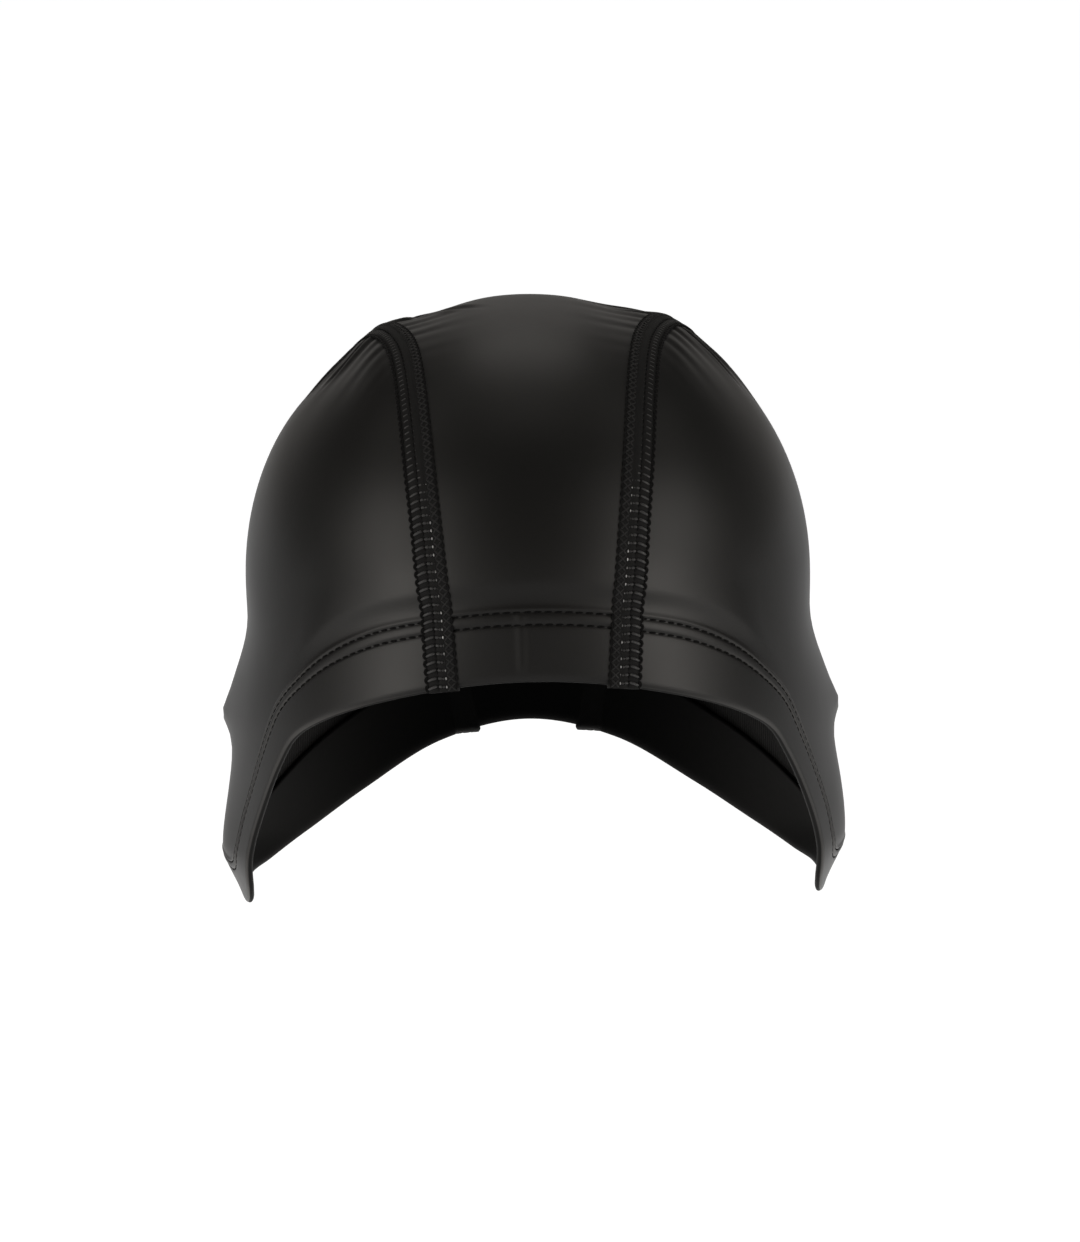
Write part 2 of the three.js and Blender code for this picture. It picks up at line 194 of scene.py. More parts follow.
def place(points):
    """From the form to the frame: origin inside the crown, front leaning back."""
    x, y, z = np.moveaxis(points, -1, 0)
    z = z - (CROWN_HEIGHT - CLOTH_SOLID)
    back = y * math.cos(LEAN) + z * math.sin(LEAN)
    up_from_origin = z * math.cos(LEAN) - y * math.sin(LEAN)
    return np.stack([x, back, up_from_origin], axis=-1)


def uneven(points):
    """The same points where the real cap is a little uneven."""
    x, y, level = np.moveaxis(points, -1, 0)
    along = bell(y - UNEVEN_REACH["middle"], UNEVEN_REACH["long"])
    for part in UNEVEN:
        share = bell(x - part["x"], part["wide"]) * bell(level - part["level"], part["tall"]) * along
        x, level = x + part["out"] * share, level + part["up"] * share
    return np.stack([x, y, level], axis=-1)


def lifted(spot, out):
    """Points in the frame, in millimetres, at a height out from the cloth's outside."""
    return place(uneven(form(spot) + outwards(spot) * np.asarray(out)[..., None]))


def mirrored(spot):
    return spot * [-1, 1]


def frame_normal(spot):
    return unit(lifted(spot, 1.0) - lifted(spot, 0.0))


print("breadth of the form:", 2 * HALF_BREADTH, "mm, length:", 2 * HALF_LENGTH, "mm")

# %% [markdown]
# Pieces meet along lines on the form: the rim, the two seams, and lines that run beside a seam. Each
# is a function from a mark to a spot. A walk over the cloth turns a distance in millimetres into a
# new spot, so a hem is as high, and a seam as wide, as it is on the real cap wherever it lies.

# %% Lines over the cloth
HEM_SHARE = [                          # the hem is stretched narrow at the low sides: turn, share of height
    (0, 1), (27, 1), (34, 0.96), (40, 0.89), (45, 0.8), (50, 0.7), (57, 0.61), (65, 0.59), (74, 0.62),
    (84, 0.66), (106, 0.74), (134, 1), (180, 1),
]
SEAM_HALF_WIDTH = 4.3
SEAM_OVERHANG = 0.5
RIM = [                                # turn round the cap from the front in degrees, and level
    (0, -26.4), (12, -27.2), (24, -29.6), (36, -33.3), (46, -37.7), (53, -42.3), (58, -48.6),
    (64, -58.0), (70, -69.3), (74, -78.8), (78, -85.6), (82, -88.9), (87, -90.0), (96, -87.6),
    (106, -84.4), (116, -81.2), (127, -75.0), (142, -64.0), (160, -51.5), (180, -46.0),
]
SEAM = [                               # angle back over the crown, and out to the side
    (-2.4, 0.71), (-2.1, 0.645), (-1.85, 0.587), (-1.5, 0.508), (-1.0, 0.448), (-0.7, 0.431),
    (-0.45, 0.443), (-0.2, 0.498), (0, 0.565), (0.3, 0.64), (0.7, 0.68), (1.2, 0.65),
    (1.6, 0.6), (2.1, 0.54), (2.4, 0.51),
]
STRIDE = 2                             # the longest step of a walk, in millimetres
PAST_RIM = {"front": -2.1, "back": 2.2}         # marks on the seam that lie beyond the rim
HALVINGS = 40                          # of the stretch in which the rim is looked for
CLIMB = (-0.05, 0.6)                   # radians over which heights above the rim are measured
CLIMB_MARKS = 300


def smooth_line(rows):
    """A smooth curve through (key, value) rows, level at both ends."""
    keys, values = np.array(rows, float).T
    rise = np.zeros(len(keys))
    rise[1:-1] = (values[2:] - values[:-2]) / (keys[2:] - keys[:-2])

    def at(key):
        i = np.clip(np.searchsorted(keys, key, side="right") - 1, 0, len(keys) - 2)
        width = keys[i + 1] - keys[i]
        step = values[i + 1] - values[i]
        t = (key - keys[i]) / width
        start, end = rise[i] * width, rise[i + 1] * width
        return values[i] + t * (start + t * (3 * step - 2 * start - end + t * (start + end - 2 * step)))

    return at


rim_level = smooth_line(RIM)
hem_share = smooth_line(HEM_SHARE)
seam_side = smooth_line(SEAM)


def walk(spot, heading, distance):
    """The spots at a distance over the cloth from others, along a heading in space."""
    steps = max(1, math.ceil(np.abs(distance).max() / STRIDE))
    stride = distance / steps
    for _ in range(steps):
        by_side, by_back = slopes(spot)
        normal = unit(np.cross(by_side, by_back))
        heading = unit(heading - dot(heading, normal)[..., None] * normal)
        ss, sb, bb = dot(by_side, by_side), dot(by_side, by_back), dot(by_back, by_back)
        ws, wb = dot(heading, by_side), dot(heading, by_back)
        rate = stride / (ss * bb - sb * sb)
        spot = spot + np.stack([(ws * bb - wb * sb) * rate, (wb * ss - ws * sb) * rate], -1)
    return spot


def degrees_from_front(turn):
    return np.degrees(np.abs(np.arctan2(np.sin(turn), np.cos(turn))))


def rim_down(turn):
    return QUARTER - rim_level(degrees_from_front(turn)) / CROWN_HEIGHT


def rim(turn):
    down = rim_down(turn)
    return np.stack([down * np.sin(turn), -down * np.cos(turn)], -1)


def direction(line, mark):
    return form(line(mark + TINY)) - form(line(mark - TINY))


def above_rim(turn, height):
    """Spots at a height above the rim."""
    heading = np.cross(outwards(rim(turn)), direction(rim, turn))
    return walk(rim(turn), heading, height * hem_share(degrees_from_front(turn)))


def along_middle(mark):
    return np.stack([seam_side(mark), mark + np.zeros_like(mark)], -1)


def across_seam(mark, distance):
    """Spots at a distance from the middle of the left seam, to the outer side if it is positive."""
    start = along_middle(mark)
    heading = np.cross(direction(along_middle, mark), outwards(start))
    return walk(start, heading, distance)


def beside_seam(distance):
    """The line that runs beside the left seam at one distance."""
    def line(mark):
        mark = np.asarray(mark, float)
        return across_seam(mark, distance + np.zeros_like(mark))

    return line


def lengths_along(line, marks):
    points = form(line(marks))
    return np.concatenate([[0], np.cumsum(np.linalg.norm(np.diff(points, axis=0), axis=1))])


def rim_mark(line, beyond):
    """The mark where a line beside the seam crosses the rim, in front or behind."""
    near = math.copysign(1, beyond)
    for _ in range(HALVINGS):
        middle = (near + beyond) / 2
        spot = line(middle)
        if rim_down(np.arctan2(spot[0], -spot[1])) > np.hypot(*spot):
            near = middle
        else:
            beyond = middle
    return near


def climb(line, start, way):
    """Marks up a line from where it starts at the rim, and their heights above the rim. Way is 1 at the
    front and -1 behind."""
    marks = start + way * np.linspace(*CLIMB, CLIMB_MARKS)
    lengths = lengths_along(line, marks)
    return marks, lengths - np.interp(0.0, way * (marks - start), lengths)


def mark_at(line, start, way):
    """From a height above the rim to a mark on the line."""
    marks, heights = climb(line, start, way)
    return lambda height: np.interp(height, heights, marks)


def height_at(line, start, way):
    """From a mark on the line to its height above the rim."""
    marks, heights = climb(line, start, way)
    order = np.argsort(marks)
    return lambda mark: np.interp(mark, marks[order], heights[order])


class SeamEdge:
    """A line beside the seam with its way up from the rim in front and behind."""

    def __init__(self, distance):
        self.line = beside_seam(distance)
        self.front = rim_mark(self.line, PAST_RIM["front"])
        self.back = rim_mark(self.line, PAST_RIM["back"])
        self.front_mark = mark_at(self.line, self.front, 1)
        self.back_mark = mark_at(self.line, self.back, -1)

    def up_front(self, height):
        return self.line(self.front_mark(height))

    def up_back(self, height):
        return self.line(self.back_mark(height))


TUCK = 0.9                             # how far the cloth's cut edge lies under the seam's thread
seam_middle = SeamEdge(0.0)
centre_edge = SeamEdge(-SEAM_HALF_WIDTH + TUCK)
side_edge = SeamEdge(SEAM_HALF_WIDTH - TUCK)
print(f"the seam meets the rim at {seam_middle.front:.2f} and {seam_middle.back:.2f} radians")

# %% [markdown]
# A sheet of cloth is a grid of points between a seam and the hem, carried down over the rim and up
# inside, just as the real edge is turned. One grid for panel and hem leaves no false joint to be
# seen. The stitch rows pull a groove in it, and the elastic under it fills it out between them.

# %% The hem's section and the cloth's relief
CLOTH = 0.6                            # the knit with its coat
HEM_ZONE = 28.0                        # the finely divided strip along the rim
HEM_OUT = 0.25
HEM_INSIDE = -1.9
TURNED_FROM = math.radians(60)         # the roll's coat is stretched matt from here inwards
ROWS = (14.8, 18.1)                    # heights of the two stitch rows above the rim
ROW_GROOVE = {"deep": 0.32, "wide": 0.32}
HEM_EDGE = (ROWS[1] + 0.3, ROWS[1] + 2.3)       # heights over which the hem's fullness ends
ROW_PUFF = {"out": 0.16, "height": 16.5, "wide": 0.75}
FOLD_BULGE = {"out": 0.16, "height": 19.0, "wide": 0.5}
SWELL = {"out": 1.05, "height": 26.6, "below": 2.7, "above": 9}  # the elastic draws in under the cloth
SWELL_ENDS = (38, 54)                  # degrees from the front, between which the swelling dies out
HEM_END_FADE = 6                       # a higher power keeps the pull of a seam's edge nearer to it
ROLL_STEPS = 12
ROLL_HEIGHT = 2.3                      # the rim is a flattened roll, higher than it is thick
JOIN = {"turn": -0.036, "wide": 0.026, "soft": 0.026, "out": 0.22, "top": 19.0}
TURNED_EDGE = 18.9                     # where the turned-up cloth ends, inside

outer_heights = np.array([             # close together at the stitch rows
    HEM_ZONE, 27.0, 26.2, 25.4, 24.6, 23.8, 23.0, 22.3, 21.7, 21.1, 20.6, 20.1, 19.7, 19.35, 19.05, 18.75,
    18.5, 18.3, 18.1, 17.9, 17.7, 17.4, 17.0, 16.5, 16.0, 15.6, 15.3, 15.1, 14.95, 14.8, 14.65, 14.45, 14.2,
    13.8, 12.6, 10.8, 8.8, 6.8, 5.0, 3.4,
])
inner_heights = np.array([3.4, 6.0, 9.0, 12.0, 14.0, 14.8, 16.0, 17.4, 18.1, TURNED_EDGE])


def swell(height):
    """How far the cloth swells out over the hem's upper edge."""
    wide = np.where(height < SWELL["height"], SWELL["below"], SWELL["above"])
    return SWELL["out"] * bell(height - SWELL["height"], wide)


def hem_relief(height):
    """How far the hem's outer cloth stands out at a height above the rim."""
    out = HEM_OUT * (1 - ramp(*HEM_EDGE, height))
    for part in (FOLD_BULGE, ROW_PUFF):
        out = out + part["out"] * bell(height - part["height"], part["wide"])
    for row in ROWS:
        out = out - ROW_GROOVE["deep"] * bell(height - row, ROW_GROOVE["wide"])
    return out


def hem_path():
    """Heights and outs down the outside of the hem, round the roll and up inside, and what is turned."""
    radius = (HEM_OUT - HEM_INSIDE) / 2
    roll = np.linspace(0, math.pi, ROLL_STEPS + 1)
    heights = np.concatenate([outer_heights, ROLL_HEIGHT * (1 - np.sin(roll)), inner_heights])
    outs = np.concatenate([
        hem_relief(outer_heights),
        HEM_OUT - radius * (1 - np.cos(roll)),
        np.full(len(inner_heights), HEM_INSIDE),
    ])
    outside, inside = np.zeros(len(outer_heights), bool), np.ones(len(inner_heights), bool)
    return heights, outs, np.concatenate([outside, roll >= TURNED_FROM, inside])


hem_heights, hem_outs, hem_turned = hem_path()
on_outside = np.arange(len(hem_heights)) < len(outer_heights)
hem_swell = swell(hem_heights) * on_outside


def hem_cloth(start_turn, end_turn, start_edge, end_edge):
    """The cloth along the rim between two seam edges: spots for shares of its length and heights.
    Its ends follow the seams' edges, and elsewhere it stands square on the rim."""
    def spots(share, height):
        share, height = np.broadcast_arrays(share, height)
        levels, places = np.unique(height, return_inverse=True)
        places = places.reshape(height.shape)
        pulls = [
            edge(levels) - above_rim(np.full(levels.shape, turn), levels)
            for turn, edge in ((start_turn, start_edge), (end_turn, end_edge))
        ]
        near, far = [(part ** HEM_END_FADE)[..., None] for part in (1 - share, share)]
        spot = above_rim(start_turn + (end_turn - start_turn) * share, height)
        return spot + pulls[0][places] * near + pulls[1][places] * far

    return spots


def turn_of(spot):
    return math.atan2(spot[0], -spot[1])


def mirrored_edge(edge):
    return lambda height: mirrored(edge(height))


side_turns = [turn_of(side_edge.line(mark)) for mark in (side_edge.front, side_edge.back)]
front_turn, nape_turn = [turn_of(centre_edge.line(mark)) for mark in (centre_edge.front, centre_edge.back)]
side_hem = hem_cloth(*side_turns, side_edge.up_front, side_edge.up_back)
front_hem = hem_cloth(-front_turn, front_turn, mirrored_edge(centre_edge.up_front), centre_edge.up_front)
back_hem = hem_cloth(
    nape_turn, 2 * math.pi - nape_turn, centre_edge.up_back, mirrored_edge(centre_edge.up_back))
print("the hem path has", len(hem_heights), "points")

# %% [markdown]
# Flatlock thread is tight, so it draws the cloth up into a low ridge where the seam turns over the
# crown and leaves short puckers beside it. Each pucker is a soft wave that fades away from the seam.
# Cloth simulation would give random folds; a short table puts them where the photo shows them.

# %% Ridge and puckers beside the seams
RIDGE = {"out": 1.1, "spread": 9, "middle": 0.05, "reach": 0.7}
PUCKERS_EACH_WAY = 8
PUCKER_PITCH = 7.4                     # millimetres along the seam
PUCKER_WIDTH = 1.15
PUCKER_WIDENS = 14                     # millimetres away from the seam at which a pucker is twice as wide
PUCKER_LIP = 0.5                       # share of its depth that a pucker stands up beside its valley
PUCKER_LENGTHS = [7, 12, 9, 15, 11, 17, 8, 13]
PUCKER_DEPTHS = [0.4, 0.75, 0.45, 0.9, 0.6, 0.8, 0.4, 0.7]
PUCKER_SLANT = 0.2                     # puckers run a little forward as they leave the seam
PUCKER_REACH = 0.55                    # angle over the crown within which the seam puckers
CROWN_RATE = 92                        # millimetres for one radian along the seam over the crown
CREASES = [                            # single creases: side and back where each starts and ends
    {"from": (-0.40, -0.03), "to": (-0.13, -0.33), "deep": 0.8, "wide": 1.0},
    {"from": (-0.50, 0.02), "to": (-0.30, -0.08), "deep": 1.2, "wide": 1.2},
    {"from": (0.50, -0.02), "to": (0.22, -0.10), "deep": 1.2, "wide": 1.2},
    {"from": (0.52, -0.12), "to": (0.30, -0.19), "deep": 0.7, "wide": 1.1},
    {"from": (0.60, -0.06), "to": (0.95, -0.10), "deep": 1.5, "wide": 1.4},
    {"from": (0.58, -0.16), "to": (0.84, -0.26), "deep": 1.0, "wide": 1.3},
    {"from": (-0.60, -0.08), "to": (-0.86, -0.14), "deep": 1.4, "wide": 1.4},
    {"from": (-0.57, -0.18), "to": (-0.78, -0.3), "deep": 0.9, "wide": 1.2},
]
CREASE_STARTS = (-0.15, 0.1)           # shares of a crease's length over which it deepens
CREASE_ENDS = (0.35, 1.1)              # and over which it dies out
CREASE_LIP = 0.6


def ridge_height(mark):
    share = np.minimum(1, np.abs(mark - RIDGE["middle"]) / RIDGE["reach"])
    return RIDGE["out"] * np.cos(QUARTER * share) ** 2


def seam_lift(mark, distance):
    """The ridge of cloth along the seam, and the puckers beside it."""
    lift = ridge_height(mark) * bell(distance, RIDGE["spread"])
    away = np.maximum(0, distance - SEAM_HALF_WIDTH)
    strength = bell(mark - RIDGE["middle"], PUCKER_REACH / 2)
    for i in range(-PUCKERS_EACH_WAY, PUCKERS_EACH_WAY + 1):
        deep = PUCKER_DEPTHS[i % len(PUCKER_DEPTHS)]
        long = PUCKER_LENGTHS[i % len(PUCKER_LENGTHS)]
        along = mark * CROWN_RATE - i * PUCKER_PITCH + away * PUCKER_SLANT
        widened = PUCKER_WIDTH * (1 + away / PUCKER_WIDENS)
        fade = strength * np.exp(-(away / long) ** 2)
        wave = bell(along, widened) - PUCKER_LIP * bell(along - 2 * widened, widened)
        lift = lift - deep * fade * wave
    return lift


def crease_lift(spot):
    """The single creases, deepest where they leave the seam."""
    lift = np.zeros(spot.shape[:-1])
    scale = np.array([HALF_BREADTH, CROWN_RATE])
    for crease in CREASES:
        start, end = np.array(crease["from"]) * scale, np.array(crease["to"]) * scale
        along = end - start
        length = np.hypot(*along)
        from_start = spot * scale - start
        share = dot(from_start, along) / length ** 2
        across = (from_start[..., 0] * along[1] - from_start[..., 1] * along[0]) / length
        fade = ramp(*CREASE_STARTS, share) * (1 - ramp(*CREASE_ENDS, share))
        wide = crease["wide"]
        wave = bell(across, wide) - CREASE_LIP * bell(np.abs(across) - 2 * wide, wide)
        lift = lift - crease["deep"] * fade * wave
    return lift


print(f"{2 * PUCKERS_EACH_WAY + 1} puckers beside each seam, {len(CREASES)} single creases")

# %% [markdown]
# Now the meshes. A grid of points becomes quads, and the Solidify modifier gives the sheet its second
# side, so the coated face and the bare knit inside can have materials of their own.

# %% Helpers that make meshes
MERGE = {"distance": 2e-6, "shortest_edge": 1e-7}        # metres
TURNED_FINISH = 2                      # the cloth's material number on the turned-up edge


def grid_quads(rows, columns, closed=False):
    """Corner numbers of the quads of a grid, closed round its columns or open."""
    ring = columns if closed else columns - 1
    i, j = np.meshgrid(np.arange(rows - 1), np.arange(ring), indexing="ij")
    next_j = (j + 1) % columns
    first, second = i * columns, (i + 1) * columns
    return np.stack([first + j, first + next_j, second + next_j, second + j], -1).reshape(-1, 4)


def make_piece(name, points, faces, materials, finish=None):
    """A smooth mesh that rides on the body. Points are in millimetres. Finish numbers are per face."""
    mesh = bpy.data.meshes.new(name)
    mesh.from_pydata((points * MM).tolist(), [], faces)
    if finish is not None:
        mesh.polygons.foreach_set("material_index", finish)
    work = bmesh.new()
    work.from_mesh(mesh)
    bmesh.ops.remove_doubles(work, verts=work.verts, dist=MERGE["distance"])
    bmesh.ops.dissolve_degenerate(work, edges=work.edges, dist=MERGE["shortest_edge"])
    work.to_mesh(mesh)
    work.free()
    mesh.shade_smooth()
    for material in materials:
        mesh.materials.append(material)
    piece = bpy.data.objects.new(name, mesh)
    bpy.context.scene.collection.objects.link(piece)
    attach(piece, "root")
    return piece


def add_sheet(name, spots, outs, turned, flip=False):
    """A sheet of cloth from a grid of spots on its coated side, how far each stands out, and
    whether it lies on the turned-up edge. Flip turns the faces of a mirrored grid outwards."""
    grid = lifted(spots, outs + crease_lift(spots) * (outs > HEM_INSIDE))
    rows, columns = grid.shape[:2]
    quads = grid_quads(rows, columns)
    if flip:
        quads = quads[:, ::-1]
    on_edge = np.broadcast_to(turned, (rows, columns)).reshape(-1)[quads].all(axis=1)
    points = grid.reshape(-1, 3)
    finish = on_edge * TURNED_FINISH
    sheet = make_piece(name, points, quads.tolist(), cloth_finish, finish)
    thicken = sheet.modifiers.new("cloth", "SOLIDIFY")
    thicken.thickness = CLOTH * MM
    thicken.offset = -1
    thicken.material_offset = 1
    print(f"{name}: {len(sheet.data.polygons)} faces a side")
    return sheet


print("quads in a grid of 3 by 3 points:", len(grid_quads(3, 3)))

# %% [markdown]
# The finish is near-black knit under a thin satin coat. Light falls on it as wide soft patches, and
# it turns pale only where the eye grazes it, which is what a dielectric coat does by itself. So the
# colour stays almost black and the work is in roughness: a soft cloudy change over centimetres, and
# a bump as fine as the knit's wales that shows through the coat.

# %% Materials
def socket(node, name, value):
    node.inputs[name].default_value = value


def new_finish(name, colour, roughness, specular):
    material = bpy.data.materials.new(name)
    material.use_nodes = True
    shader = material.node_tree.nodes["Principled BSDF"]
    socket(shader, "Base Color", (*colour, 1))
    socket(shader, "Roughness", roughness)
    socket(shader, "Specular IOR Level", specular)
    return material, shader


def add_node(material, kind, **settings):
    node = material.node_tree.nodes.new(kind)
    for name, value in settings.items():
        setattr(node, name, value)
    return node


def object_place(material):
    return add_node(material, "ShaderNodeTexCoord").outputs["Object"]


def noise(material, scale, detail=2.0):
    node = add_node(material, "ShaderNodeTexNoise")
    socket(node, "Scale", scale)
    socket(node, "Detail", detail)
    material.node_tree.links.new(object_place(material), node.inputs["Vector"])
    return node.outputs["Fac"]


def spread_between(material, value, low, high):
    node = add_node(material, "ShaderNodeMapRange")
    socket(node, "To Min", low)
    socket(node, "To Max", high)
    material.node_tree.links.new(value, node.inputs["Value"])
    return node.outputs["Result"]


def smooth_share(material, value, start, end):
    node = add_node(material, "ShaderNodeMapRange", interpolation_type="SMOOTHSTEP")
    socket(node, "From Min", start)
    socket(node, "From Max", end)
    material.node_tree.links.new(value, node.inputs["Value"])
    return node.outputs["Result"]


def bump(material, height, strength, distance, below=None):
    node = add_node(material, "ShaderNodeBump")
    socket(node, "Strength", strength)
    socket(node, "Distance", distance)
    material.node_tree.links.new(height, node.inputs["Height"])
    if below:
        material.node_tree.links.new(below, node.inputs["Normal"])
    return node.outputs["Normal"]


def coated_cloth():
    material, shader = new_finish("satin_coated_knit", (0.006, 0.006, 0.006), 0.42, 0.4)
    links = material.node_tree.links
    links.new(spread_between(material, noise(material, 38, 3), 0.39, 0.45), shader.inputs["Roughness"])
    tint = add_node(material, "ShaderNodeMix", data_type="RGBA")
    links.new(noise(material, 22, 2), tint.inputs["Factor"])
    tint.inputs["A"].default_value = (0.0050, 0.0052, 0.0050, 1)
    tint.inputs["B"].default_value = (0.0082, 0.0074, 0.0068, 1)
    links.new(tint.outputs["Result"], shader.inputs["Base Color"])
    knit = bump(material, noise(material, 2600, 1), 0.10, 0.0001)
    links.new(bump(material, noise(material, 700, 2), 0.06, 0.0002, knit), shader.inputs["Normal"])
    return material


def turned_coat():
    """The same coat at the turned edge, where the stretch over the elastic has made it matt."""
    material, shader = new_finish("coat_at_the_edge", (0.006, 0.006, 0.006), 0.62, 0.2)
    material.node_tree.links.new(
        bump(material, noise(material, 900, 2), 0.15, 0.0002), shader.inputs["Normal"])
    return material


def bare_knit():
    material, shader = new_finish("bare_knit_inside", (0.012, 0.012, 0.012), 0.85, 0.2)
    socket(shader, "Sheen Weight", 0.15)
    socket(shader, "Sheen Roughness", 0.5)
    links = material.node_tree.links
    wales = add_node(material, "ShaderNodeTexWave", bands_direction="X")
    socket(wales, "Scale", 620)
    socket(wales, "Distortion", 1.2)
    links.new(object_place(material), wales.inputs["Vector"])
    courses = bump(material, noise(material, 1500, 2), 0.5, 0.0002)
    links.new(bump(material, wales.outputs["Fac"], 0.35, 0.0002, courses), shader.inputs["Normal"])
    return material


def spun_thread(name, colour, roughness, specular):
    material, shader = new_finish(name, colour, roughness, specular)
    strands = add_node(material, "ShaderNodeTexWave", bands_direction="DIAGONAL")
    socket(strands, "Scale", 900)
    socket(strands, "Distortion", 2)
    material.node_tree.links.new(object_place(material), strands.inputs["Vector"])
    material.node_tree.links.new(
        bump(material, strands.outputs["Fac"], 0.5, 0.00008), shader.inputs["Normal"])
    return material


def painted_glint_thread():
    """A clear thread, dark over the black ones, with painted glints: a noise paints pale spots into its
    colour.
    """
    material = spun_thread("clear_thread_painted_glints", (0.3, 0.3, 0.3), 0.25, 0.7)
    links = material.node_tree.links
    painted_glint_mix = add_node(material, "ShaderNodeMix", data_type="RGBA")
    painted_glint_mix.inputs["A"].default_value = (0.01, 0.01, 0.01, 1)
    painted_glint_mix.inputs["B"].default_value = (0.8, 0.8, 0.8, 1)
    # painted glints: where the noise is high the colour turns pale, standing in for light caught by the
    # thread
    links.new(smooth_share(material, noise(material, 330, 1), 0.38, 0.7), painted_glint_mix.inputs["Factor"])
    shader = material.node_tree.nodes["Principled BSDF"]
    links.new(painted_glint_mix.outputs["Result"], shader.inputs["Base Color"])
    return material


knit_inside = bare_knit()
cloth_finish = [coated_cloth(), knit_inside, turned_coat(), knit_inside]
seam_base_finish = spun_thread("seam_ground", (0.009, 0.009, 0.009), 0.75, 0.2)
# the cover thread is dark grey, its colour raised a little as painted sheen on the rungs
cover_thread_painted_sheen = spun_thread("cover_thread_painted_sheen", (0.035, 0.035, 0.035), 0.42, 0.6)
# the needle thread is black, and kept darker than the seam's ground as painted shade along the seam's
# scalloped edges
needle_thread_painted_shade = spun_thread("needle_thread_painted_shade", (0.004, 0.004, 0.004), 0.7, 0.15)
lacing_thread = spun_thread("lacing_thread", (0.011, 0.011, 0.011), 0.55, 0.35)
clear_thread_painted_glints = painted_glint_thread()
row_thread = spun_thread("row_thread", (0.003, 0.003, 0.003), 0.75, 0.12)
print("finishes:", [material.name for material in bpy.data.materials])

# %% [markdown]
# A side panel is one piece of cloth, cut round at the seam and drawn in along the hem. Its grid could
# be level rings, but columns that leave the seam and run down to the hem meet both edges squarely.
# Each pucker then lies along a column, and the low bulge stays smooth. Shares of length along the
# seam and along the hem are matched, which keeps the quads even.

# %% Side panels
SIDE_COLUMNS = 340
SIDE_ROWS = 56
SIDE_GROWTH = 1.3                      # rows are closer together near the seam
CROWD = {"share": 2.2, "middle": -0.1, "spread": 0.3}  # closer together where the seam puckers
FINE_MARKS = 1200


def even_marks(line, start, end, count, crowd=0.0):
    """Marks at even distances along a line, or crowded at the puckers."""
    fine = np.linspace(start, end, FINE_MARKS)
    weight = 1 + crowd * bell(fine - CROWD["middle"], CROWD["spread"])
    reached = np.concatenate([[0], np.cumsum(np.diff(lengths_along(line, fine)) * weight[1:])])
    return np.interp(np.linspace(0, reached[-1], count + 1), reached, fine)


def side_grid():
    start, end = float(side_edge.front_mark(HEM_ZONE)), float(side_edge.back_mark(HEM_ZONE))
    marks = even_marks(side_edge.line, start, end, SIDE_COLUMNS, CROWD["share"])
    hem_shares = even_marks(lambda share: side_hem(share, HEM_ZONE), 0, 1, SIDE_COLUMNS)
    tops = side_edge.line(marks)
    hem_spots = side_hem(hem_shares[:, None], hem_heights[None, :])
    feet = hem_spots[:, 0]
    down = (np.arange(SIDE_ROWS) / SIDE_ROWS) ** SIDE_GROWTH
    spots = tops[:, None] + (feet - tops)[:, None] * down[None, :, None]
    drop = np.linalg.norm(form(feet) - form(tops), axis=1)
    distance = SEAM_HALF_WIDTH - TUCK + drop[:, None] * down[None, :]
    above = HEM_ZONE + drop[:, None] * (1 - down[None, :])
    from_front = degrees_from_front(side_turns[0] + (side_turns[1] - side_turns[0]) * hem_shares)
    swelling = 1 - ramp(*SWELL_ENDS, from_front)[:, None]
    lifts = seam_lift(marks[:, None], distance) + swelling * swell(above)
    outs = hem_outs + swelling * hem_swell
    return np.concatenate([spots, hem_spots], axis=1), np.concatenate([lifts, outs], axis=1)


side_spots, side_outs = side_grid()
side_turned = np.concatenate([np.zeros(SIDE_ROWS, bool), hem_turned])
left_side = add_sheet("left_side_cloth", side_spots, side_outs, side_turned)
right_side = add_sheet("right_side_cloth", mirrored(side_spots), side_outs, side_turned, flip=True)
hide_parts("left_side_panel", "left_side_hem")
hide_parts("right_side_panel", "right_side_hem")

# %% [markdown]
# The centre panel is a long strip of the same cloth. It runs from the rim in front over the crown to
# the rim behind, so its grid starts and ends with the hem's section. The panel could be lofted apart
# from its hems, but one grid keeps the cloth unbroken where it is turned.

# %% Centre panel
CENTRE_SWELL = 0.75                    # in the middle of the front the cloth swells less
CENTRE_ROWS = 250
CENTRE_COLUMNS = 88
CENTRE_END_FADE = 4                    # a higher power keeps the pull of a hem's line nearer to it
JOIN_FADE = 1.5                        # millimetres below its top in which the join's ridge dies out


def join_lift(share, heights):
    """The elastic's ends overlap near the middle of the front and show as a low upright ridge."""
    turn = (2 * share - 1) * front_turn
    edge = np.abs(turn - JOIN["turn"])
    across = 1 - ramp(JOIN["wide"] - JOIN["soft"], JOIN["wide"], edge)
    return JOIN["out"] * across * (1 - ramp(JOIN["top"] - JOIN_FADE, JOIN["top"], heights))


